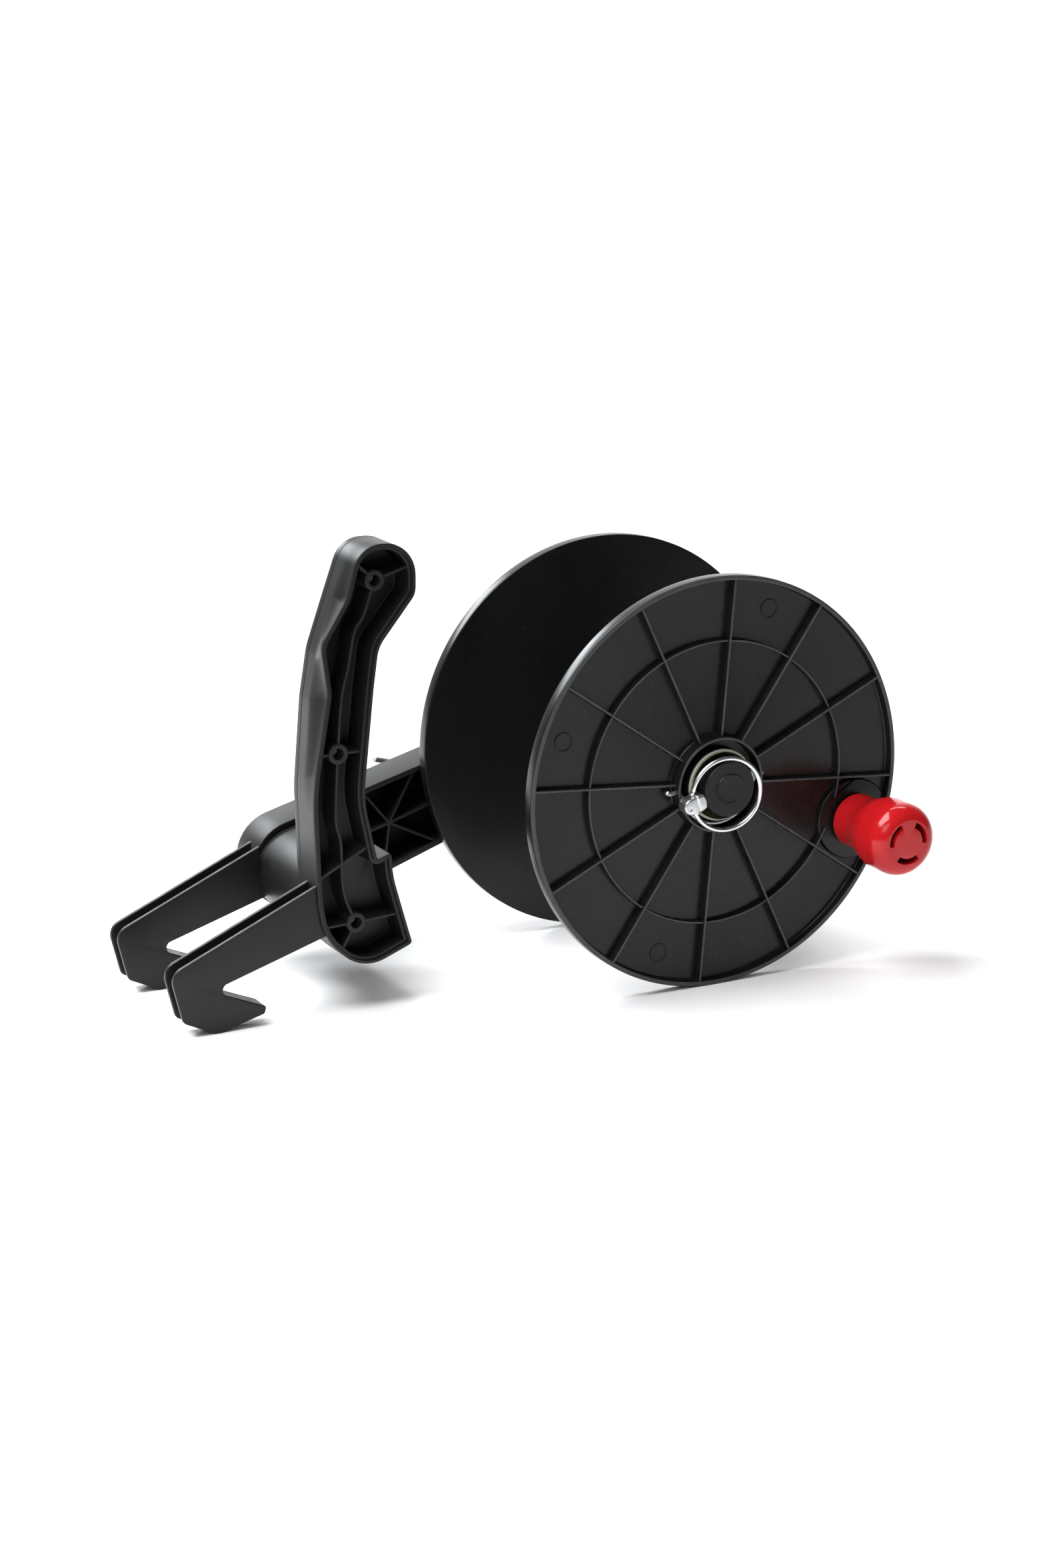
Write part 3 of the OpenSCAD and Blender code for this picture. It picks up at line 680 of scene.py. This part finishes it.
def linch_pin():
    """Round shaft with a square tail, and a cast head drilled for the ring's two ends."""
    bm = bmesh.new()
    shaft = [tilted(x, LINCH_Y, 0) for x in (HEAD_X[0] + 5, -10, 0, 10, 14.2)]
    wire(bm, shaft, LINCH_R, 32, 0.1)
    square = []
    for x, half, fillet in ((13.6, 1.7, 0.8), (14.3, 2.2, 0.7), (17.6, 2.2, 0.6), (18.5, 1.5, 0.5)):
        corners = [(half, half, fillet), (-half, half, fillet), (-half, -half, fillet),
                   (half, -half, fillet)]
        square.append([tilted(x + (0.5 * p.y if x > 17 else 0), LINCH_Y + p.x, p.y)
                       for p in rounded(corners, 3)])
    loft(bm, square)

    def block(outline, y0, y1, r):
        steps = fillet_steps(y0, 1, r) + fillet_steps(y1, -1, 0.5)[::-1]
        loft(bm, [[tilted(p.x, y, p.y) for p in rounded(inset(outline, d), 8)] for d, y in steps])

    half = HEAD_H / 2
    lobe = [(HEAD_X[0] - 2.2, -half, 4.3), (-15.6, -half + 0.4, 0.8), (-15.6, half - 0.4, 0.8),
            (HEAD_X[0] - 2.2, half, 4.3)]
    block(lobe, HEAD_Y[0], HEAD_Y[1], 1.1)
    shoulder = [(-20.2, -half - 0.5, 1.3), (HEAD_X[1] - 0.3, -half + 0.8, 1.2),
                (HEAD_X[1] + 0.5, 0.2, 2), (HEAD_X[1] - 0.3, half - 0.6, 1.2),
                (-20.2, half + 0.5, 1.3)]
    block(shoulder, HEAD_Y[0] - 0.5, HEAD_Y[1] - 0.2, 1.3)
    pin = finish_piece(bm, "linch_pin_casting", "frame", "zinc_steel", ["linch_pin"], 38)

    def holes(cutter):
        x, z = DIMPLE_AT
        ends = [tilted(x, HEAD_Y[0] - 1, z), tilted(x, HEAD_Y[0] + 1.1, z)]
        wire(cutter, ends, DIMPLE_R, 20, 0.05)
        for side in (-1, 1):
            ends = [tilted(PIVOT[0], PIVOT[1], side * (half + reach)) for reach in (-2.5, 1.5)]
            wire(cutter, ends, RING_WIRE_R + 0.15, 32, 0.01)
    cut(pin, holes, 38)


def linch_ring():
    """Wire ring with both ends turned into the casting, its circle skewed a little about the pivot."""
    bm = bmesh.new()
    opening = math.asin(PIVOT_HALF / RING_R)

    def leaned(x, z):
        return tilted(PIVOT[0] + x * math.cos(RING_LEAN), PIVOT[1] - x * math.sin(RING_LEAN), z)

    line = [leaned(0, HEAD_H / 2 - 2.2), leaned(0, HEAD_H / 2), leaned(0, HEAD_H / 2 + 0.7)]
    first = math.pi - opening
    for k in range(97):
        t = first - 2 * first * k / 96
        x = RING_R * (math.cos(opening) + math.cos(t))
        z = RING_R * math.sin(t)
        line.append(leaned(x * math.cos(RING_SKEW) - z * math.sin(RING_SKEW),
                           x * math.sin(RING_SKEW) + z * math.cos(RING_SKEW)))
    line += [leaned(0, -0.7 - HEAD_H / 2), leaned(0, -HEAD_H / 2), leaned(0, 2.2 - HEAD_H / 2)]
    wire(bm, smooth_path(line, 2), RING_WIRE_R, 20, 0.2)
    finish_piece(bm, "linch_ring_wire", "ring", "chrome_wire", ["linch_ring"], 50)


def hub_clip():
    """Sprung wire ring inside the collar with one end out on each side."""
    bm = bmesh.new()

    def spot(x, y, z):
        return at(x * math.cos(CLIP_TILT) - z * math.sin(CLIP_TILT), CLIP_Y + y,
                  x * math.sin(CLIP_TILT) + z * math.cos(CLIP_TILT))

    loop = [spot(CLIP_R * math.cos(t), 0, CLIP_R * math.sin(t))
            for t in (math.radians(a) for a in range(188, 353, 5))]
    left = [spot(-30.5, -0.6, 1.6), spot(-29.4, 0, 0.6), spot(-28, 0, 0), spot(-24.5, 0, 0)]
    right = [spot(24, 0, 0), spot(26.4, 0, 0), spot(27.6, -0.4, 0.8)]
    wire(bm, smooth_path(left + loop + right, 3), CLIP_WIRE_R, 16, 0.3)
    finish_piece(bm, "hub_clip_wire", "spool", "zinc_steel", ["hub_clip"], 50)


spindle_cap()
linch_pin()
linch_ring()
hub_clip()


# ---------------------------------------------------------------- arm, beam and hooks

ARM_Y = 133
ARM_BACK = 158
WALL = 3
RIB_T = 1.5
BEAM_Y = 74
BEAM_RIGHT = [(-153.8, -77.8, 2), (-164.4, -40, 60), (-165.2, -27.2, 1.5)]
BEAM = BEAM_RIGHT + [(-209, -39.1, 24), (-204.4, -66.5, 14), (-181.5, -88, 16)]
ARM = [(21, -13.9, 18), (21, 27.1, 18), (-209, -35.8, 24), (-204.4, -68, 14), (-183, -84.6, 14)]
STAR = Vector((-126.2, -38.7))
STAR_ANGLES = (61.3, 129.4, 196, 263, 333.7)
LOCK_ANGLE = math.radians(253)
LOCK_AT = Vector((81.6 * math.sin(LOCK_ANGLE), 81.6 * math.cos(LOCK_ANGLE)))
LOCK_END = Vector((-118.4, -12.6))
LOCK_BORE_R = 3.1
LOCK_BOSS_R = 7.5
LOCK_BOSS_Y = 149.2
LOCK_ROOM_R = 7.2
LOCK_R = 3
HANDLE_Y = 170
HANDLE_R = 2
SOCKET_R = (14.75, 19)
BOLT_HOLE_R = 4.2
CROSS_RIB_AT = Vector((-50, -18))
CROSS_RIB_ANGLES = (101.3, 281.3)


def tray_steps(y_open, y_back, wall, floor, lip=0.5):
    """(inset, y) steps of an open tray: closed back, outer wall, lip, inner wall, floor."""
    into = 1 if y_back > y_open else -1
    floor_y = y_back - into * floor
    back = fillet_steps(y_back, -into, 0.6)
    front = fillet_steps(y_open, into, lip)[::-1]
    inner = [(wall - d, y) for d, y in fillet_steps(y_open, into, lip)]
    bottom = [(wall + 0.1 + 0.8 * (1 - math.cos(t)), floor_y - into * 0.8 * (1 - math.sin(t)))
              for t in (math.pi / 2 * k / 4 for k in range(5))]
    return back + front + inner + bottom


def arm():
    """Tray-shaped arm: star ribs, spindle socket and lock boss."""
    bm = bmesh.new()
    steps = tray_steps(ARM_Y, ARM_BACK, WALL, WALL)
    loft(bm, [outline_ring(ARM, d, y, 10) for d, y in steps])
    top = ARM_Y + 1
    floor = ARM_BACK - WALL + 0.4

    def reach(p, degrees):
        t = math.radians(degrees)
        return walled(p, Vector((math.cos(t), math.sin(t))), ARM, WALL / 2)

    for degrees in STAR_ANGLES:
        rib(bm, [STAR, reach(STAR, degrees)], RIB_T, top, floor)
    rib(bm, [STAR, Vector((-14, -4.3))], RIB_T, top, floor)
    for degrees in CROSS_RIB_ANGLES:
        rib(bm, [CROSS_RIB_AT, reach(CROSS_RIB_AT, degrees)], RIB_T, top, floor)
    bore, outside = SOCKET_R
    lathe(bm, [(bore, ARM_Y, 0.3), (outside, ARM_Y, 0.4), (outside + 0.2, ARM_BACK - 2, 0),
               (bore, ARM_BACK - 6, 0)], steps=96)
    boss_end = ARM_BACK + 1.5
    lathe(bm, [(LOCK_BORE_R, LOCK_BOSS_Y, 0.2), (LOCK_BOSS_R, LOCK_BOSS_Y, 0.3),
               (LOCK_BOSS_R, boss_end, 0.5), (LOCK_BORE_R, boss_end, 0.3)], LOCK_AT, 64)
    lathe(bm, [(BOLT_HOLE_R, ARM_BACK - 0.5, 0), (10.6, ARM_BACK - 0.5, 0),
               (10.2, ARM_BACK + 0.02, 0.01), (BOLT_HOLE_R, ARM_BACK + 0.02, 0.01)], (0, 0), 72)
    piece = finish_piece(bm, "arm_moulding", "frame", "black_satin", ["arm"])

    def bores(cutter):
        wire(cutter, [at(0, ARM_BACK - 4, 0), at(0, ARM_BACK + 2, 0)], BOLT_HOLE_R, 40, 0.01)
        wire(cutter, [at(LOCK_AT.x, ARM_Y - 1, LOCK_AT.y), at(LOCK_AT.x, 149, LOCK_AT.y)],
             LOCK_ROOM_R, 40, 0.01)
        wire(cutter, [at(LOCK_AT.x, 148, LOCK_AT.y), at(LOCK_AT.x, ARM_BACK + 4, LOCK_AT.y)],
             LOCK_BORE_R, 40, 0.01)
    cut(piece, bores)


def cross_beam():
    """Hollow box from the arm to the grip."""
    bm = bmesh.new()
    r = 0.5
    outer = fillet_steps(BEAM_Y, 1, r) + fillet_steps(ARM_Y, -1, r)[::-1]
    inner = [(WALL - d, y) for d, y in outer[::-1]]
    steps = outer + inner
    loft(bm, [outline_ring(BEAM, d, y, 12) for d, y in steps], closed=True)
    finish_piece(bm, "cross_beam_moulding", "frame", "black_satin", ["cross_beam"])


HOOK = [(-205.6, -39.4, 0), (-287.4, -75.3, 8), (-280.9, -101.8, 4), (-262.5, -110.45, 8),
        (-236.6, -103.4, 1.5), (-235.6, -99.6, 1.5), (-265.3, -87.1, 3.2), (-201.4, -67.3, 0),
        (-204.4, -58, 0)]
HOOK_CORE = [(-205.6, -51.5, 0), (-277.6, -82.9, 4), (-273.3, -99.4, 3), (-277.5, -103.6, 1),
             (-262.5, -110.45, 8), (-236.6, -103.4, 1.5), (-235.6, -99.6, 1.5), (-265.3, -87.1, 3.2),
             (-201.4, -67.3, 0), (-204.4, -58, 0)]
HOOK_T = 13
PLATE_T = 2.5


def hook(name, y0):
    """U-section hook: two plates with a web between them, open along the top and the nose."""
    bm = bmesh.new()
    for y in (y0, y0 + HOOK_T - PLATE_T):
        prism(bm, HOOK, y, y + PLATE_T, 0.55, 10)
    loft(bm, [outline_ring(HOOK_CORE, 0.06, y, 10)
              for y in (y0 + PLATE_T - 0.5, y0 + HOOK_T - PLATE_T + 0.5)])
    finish_piece(bm, name + "_moulding", "frame", "black_satin", [name])


arm()
cross_beam()
hook("front_hook", 50)
hook("rear_hook", 127)


# ---------------------------------------------------------------- grip

GRIP_Y = 48.5
SEAM_Y = 68.5
GRIP_WALL = 3.4
LIP_T = 1.7
LIP_H = 1.8
FINGER_SIDE = [(-173.2, -30.2, 1.5), (-180.2, 3, 60), (-174, 60, 120), (-171, 81, 18),
               (-150, 106.5, 10), (-149.8, 133.8, 17.5), (-181, 133.8, 15)]
PALM_WAVED = [(-188.3, 107.5, 20), (-202.9, 84.5, 14), (-199.6, 59, 16)]
PALM_PLAIN = [(-190.6, 107.5, 30), (-200.4, 80, 40), (-204.6, 55, 40)]
GRIP_FOOT = [(-208.6, 8, 120), (-206.6, -50, 60), (-203.2, -69, 32), (-182, -88.8, 22)]
WAVE_FADE = (50, 61)
BOSSES = [Vector((-171.7, 115)), Vector((-193, 27.6)), Vector((-184.5, -62.9))]
BOSS_R = 5.4
SCREW_HEAD_R = 5.2
SCREW_R = 2.85
SCREW_SEAT_Y = BEAM_Y - 2.2
BOSS_BORE_R = 2.9
BOSS_Y = 50.9
KNEE = Vector((-189, -29.5))


def grip_outline(t):
    """The grip's corners, from finger waves at t = 0 to a plain palm side at t = 1."""
    palm = [between(a, b, t) for a, b in zip(PALM_WAVED, PALM_PLAIN)]
    return BEAM_RIGHT + FINGER_SIDE + palm + GRIP_FOOT


def grip_front():
    """Front shell of the grip: a tray whose rim has finger waves that fade backwards."""
    bm = bmesh.new()
    back = SEAM_Y - 0.1
    levels = [back - 1 - k for k in range(17)]
    rings = []
    for d, y in fillet_steps(back, -1, 0.35) + [(0, y) for y in levels]:
        fade = ease((y - WAVE_FADE[0]) / (WAVE_FADE[1] - WAVE_FADE[0]))
        rings.append(outline_ring(grip_outline(fade), d, y, 12))
    waved = grip_outline(0)
    lip = fillet_steps(GRIP_Y, 1, 0.4)[::-1] + [(LIP_T - d, y) for d, y in fillet_steps(GRIP_Y, 1, 0.3)]
    ledge_y = GRIP_Y + LIP_H
    ledge = [(LIP_T + 0.02, ledge_y)] + [(GRIP_WALL - d, y) for d, y in fillet_steps(ledge_y, 1, 0.35)]
    floor_y = back - 2.4
    bottom = [(GRIP_WALL + 0.1 + 0.9 * (1 - math.cos(t)), floor_y - 0.9 * (1 - math.sin(t)))
              for t in (math.pi / 2 * k / 4 for k in range(5))]
    rings += [outline_ring(waved, d, y, 12) for d, y in lip + ledge + bottom]
    loft(bm, rings)
    top, mid, low = BOSSES
    rib_top, floor = GRIP_Y + 3, floor_y + 0.4
    curves = [[top, Vector((-177.8, 97.5)), Vector((-182.9, 89.5)), Vector((-186.5, 72)),
               Vector((-190.5, 56)), mid],
              [mid, Vector((-194.4, 3)), Vector((-194.4, -10)), Vector((-192, -20)),
               Vector((-191, -45)), low]]
    for line in curves:
        rib(bm, smooth_path(line, 6), RIB_T, rib_top, floor)
    spokes = [(top, (-20, 20)), (top, (28, 8)), (mid, (-1, 0)), (mid, (1, 0)), (KNEE, (-2, -1)),
              (KNEE, (2, 1)), (low, (-30, -1)), (low, (34, 2)), (low, (-13, -23))]
    for start, along in spokes:
        rib(bm, [start, walled(start, Vector(along).normalized(), waved, GRIP_WALL / 2)],
            RIB_T, rib_top, floor)
    for spot in BOSSES:
        lathe(bm, [(BOSS_BORE_R, BOSS_Y, 0.25), (BOSS_R, BOSS_Y, 0.45), (BOSS_R + 0.1, floor, 0),
                   (BOSS_BORE_R, floor, 0)], spot, 64)
    piece = finish_piece(bm, "grip_front_shell", "frame", "black_satin", ["grip_front"])

    def bores(cutter):
        for spot in BOSSES:
            wire(cutter, [at(spot.x, 49, spot.y), at(spot.x, 72, spot.y)], 2.88, 48, 0.01)
    cut(piece, bores)


def grip_back():
    """Back shell of the grip, with a countersunk hole behind each boss."""
    bm = bmesh.new()
    corners = grip_outline(1)
    steps = fillet_steps(SEAM_Y + 0.1, 1, 0.35) + fillet_steps(BEAM_Y, -1, 1.4, 6)[::-1]
    loft(bm, [outline_ring(corners, d, y, 12) for d, y in steps])
    piece = finish_piece(bm, "grip_back_shell", "frame", "black_satin", ["grip_back"])

    def bores(cutter):
        for spot in BOSSES:
            lathe(cutter, [(0, 66), (3, 66, 0), (3, SCREW_SEAT_Y, 0), (5.4, SCREW_SEAT_Y, 0),
                           (5.4, BEAM_Y - 0.4, 0), (5.9, BEAM_Y + 0.2, 0), (5.9, BEAM_Y + 1, 0),
                           (0, BEAM_Y + 1)], spot, 64, closed=False)
    cut(piece, bores)


def grip_screws():
    """Three alike pan-head screws with a cross recess."""
    bm = bmesh.new()
    for spot in BOSSES:
        lathe(bm, [(0, 57.5), (2.2, 57.5, 0.4), (SCREW_R, 60, 0.3), (SCREW_R, SCREW_SEAT_Y, 0),
                   (SCREW_HEAD_R, SCREW_SEAT_Y, 0.2), (SCREW_HEAD_R, BEAM_Y - 1.3, 0.4),
                   (3.6, BEAM_Y - 0.3, 0.8), (0, BEAM_Y - 0.2)], spot, 64, closed=False)
    piece = finish_piece(bm, "grip_screw_set", "frame", "zinc_steel", ["grip_screws"])

    def recesses(cutter):
        for spot in BOSSES:
            for turn in (20, 110):
                along = polar(2.3, turn)
                rib(cutter, [spot - along, spot + along], 0.9, BEAM_Y - 1.5, BEAM_Y + 1, 0.1, 0.1)
    cut(piece, recesses)


grip_front()
grip_back()
grip_screws()


# ---------------------------------------------------------------- fasteners and lock

def hexagon(flats, r):
    reach = flats / math.sqrt(3)
    return [(reach * math.cos(math.radians(a)), reach * math.sin(math.radians(a)), r)
            for a in range(15, 375, 60)]


BOLT_R = 4
BOLT_FLATS = 13
WASHER_R = 9
WASHER_T = 1.6


def spindle_bolt():
    """M8 hexagon bolt head and shank, and the washer under it."""
    bm = bmesh.new()
    face = ARM_BACK + WASHER_T
    steps = [(0.3, face), (0, face + 0.4), (0, face + 4.4), (0.5, face + 5.0), (1.2, face + 5.3)]
    loft(bm, [outline_ring(hexagon(BOLT_FLATS, 0.5 + d), d, y, 4) for d, y in steps])
    lathe(bm, [(0, 116), (3.4, 116, 0.3), (BOLT_R, 117, 0.2), (BOLT_R, face + 0.3, 0), (0, face + 0.3)],
          steps=48, closed=False)
    lathe(bm, [(4.6, face + 5.2, 0), (5.1, face + 5.45, 0.1), (5.4, face + 5.2, 0)], steps=64)
    finish_piece(bm, "spindle_bolt_m8", "frame", "zinc_steel", ["spindle_bolt"], 30)
    bm = bmesh.new()
    lathe(bm, [(BOLT_HOLE_R, ARM_BACK, 0.2), (WASHER_R, ARM_BACK, 0.3), (WASHER_R, face, 0.5),
               (BOLT_HOLE_R, face, 0.2)], steps=96)
    finish_piece(bm, "spindle_washer_m8", "frame", "zinc_steel", ["spindle_washer"])


def lock():
    """Lock pin with its clip groove, and the wire that pulls it."""
    bm = bmesh.new()
    groove_r = LOCK_R - 0.3
    lathe(bm, [(0, 131), (LOCK_R, 131, 1.0), (LOCK_R, 147.4, 0.1), (groove_r, 147.6, 0.1),
               (groove_r, 148.2, 0.1), (LOCK_R, 148.4, 0.1), (LOCK_R, 173.5, 0.9), (0, 173.5)],
          LOCK_AT, 48, closed=False)
    finish_piece(bm, "lock_pin_rod", "lock", "zinc_steel", ["lock_pin"])
    bm = bmesh.new()
    along = (LOCK_END - LOCK_AT).normalized()
    start = LOCK_AT - along * 6
    spots = (start, LOCK_AT, (LOCK_AT + LOCK_END) / 2, LOCK_END)
    wire(bm, [at(p.x, HANDLE_Y, p.y) for p in spots], HANDLE_R, 24, 0.35)
    finish_piece(bm, "lock_handle_wire", "lock", "zinc_steel", ["lock_handle"], 40)


spindle_bolt()
lock()


# ---------------------------------------------------------------- stage

CAMERA_AZIMUTH = math.radians(-27.56)
CAMERA_ELEVATION = math.radians(15.46)
CAMERA_AT = at(-844.39, -1397.76, 450.65)
LENS = 74.68


def soft_light(name, place, target, size, power, colour=(1, 1, 1)):
    data = bpy.data.lights.new(name, "AREA")
    data.shape = "RECTANGLE"
    data.size, data.size_y = size
    data.energy = power
    data.color = colour
    light = bpy.data.objects.new(name, data)
    light.location = place
    light.rotation_euler = (Vector(target) - Vector(place)).to_track_quat("-Z", "Y").to_euler()
    bpy.context.scene.collection.objects.link(light)


def sweep_floor():
    """Floor that curves up into a back wall, across the camera's line of sight."""
    away = Vector((-math.sin(CAMERA_AZIMUTH), math.cos(CAMERA_AZIMUTH), 0))
    side = Vector((away.y, -away.x, 0))
    line = [(-4, 0), (1.2, 0)]
    line += [(1.2 + 1.2 * math.sin(t), 1.2 - 1.2 * math.cos(t))
             for t in (math.pi / 2 * k / 24 for k in range(1, 25))]
    line.append((2.4, 4))
    bm = bmesh.new()
    rows = []
    for forward, up in line:
        place = away * forward + Vector((0, 0, cad_box[0].z + up))
        rows.append([bm.verts.new(place + side * s) for s in (-6, 6)])
    for a, b in zip(rows, rows[1:]):
        bm.faces.new((a[0], b[0], b[1], a[1]))
    mesh = bpy.data.meshes.new("floor")
    bm.to_mesh(mesh)
    bm.free()
    mesh.shade_smooth()
    floor = bpy.data.objects.new("floor", mesh)
    bpy.context.scene.collection.objects.link(floor)
    return floor


def stage():
    floor = sweep_floor()
    mesh = floor.data
    material = bpy.data.materials.new("floor")
    material.use_nodes = True
    shader = material.node_tree.nodes["Principled BSDF"]
    shader.inputs["Base Color"].default_value = (0.92, 0.92, 0.92, 1)
    shader.inputs["Roughness"].default_value = 0.9
    shader.inputs["Specular IOR Level"].default_value = 0.1
    mesh.materials.append(material)
    world = bpy.data.worlds.new("studio")
    world.use_nodes = True
    background = world.node_tree.nodes["Background"]
    background.inputs["Color"].default_value = (0.93, 0.96, 1.0, 1)
    background.inputs["Strength"].default_value = 0.08
    bpy.context.scene.world = world
    soft_light("key_above", (-0.6, 0.0, 1.2), (-0.35, -0.1, 0), (1.0, 0.9), 32, (0.98, 0.99, 1))
    soft_light("back_strip", (-0.5, 1.5, 1.0), (0, 0, 0.12), (1.0, 0.4), 20, (0.92, 0.96, 1))
    soft_light("wall_wash", (0.35, 0.9, 2.0), (1.0, 2.2, 0.6), (2.4, 0.8), 60)
    soft_light("front_fill", (-1.2, -1.5, 1.3), (0, 0, 0.12), (1.2, 0.9), 9)


def camera():
    data = bpy.data.cameras.new("camera")
    data.lens = LENS
    data.sensor_width = 36
    data.clip_end = 50
    view = bpy.data.objects.new("camera", data)
    back = Vector((math.sin(CAMERA_AZIMUTH) * math.cos(CAMERA_ELEVATION),
                   -math.cos(CAMERA_AZIMUTH) * math.cos(CAMERA_ELEVATION),
                   math.sin(CAMERA_ELEVATION)))
    view.location = CAMERA_AT
    view.rotation_euler = (-back).to_track_quat("-Z", "Y").to_euler()
    bpy.context.scene.collection.objects.link(view)
    bpy.context.scene.camera = view
    bpy.context.scene.view_settings.view_transform = "Standard"


stage()
camera()
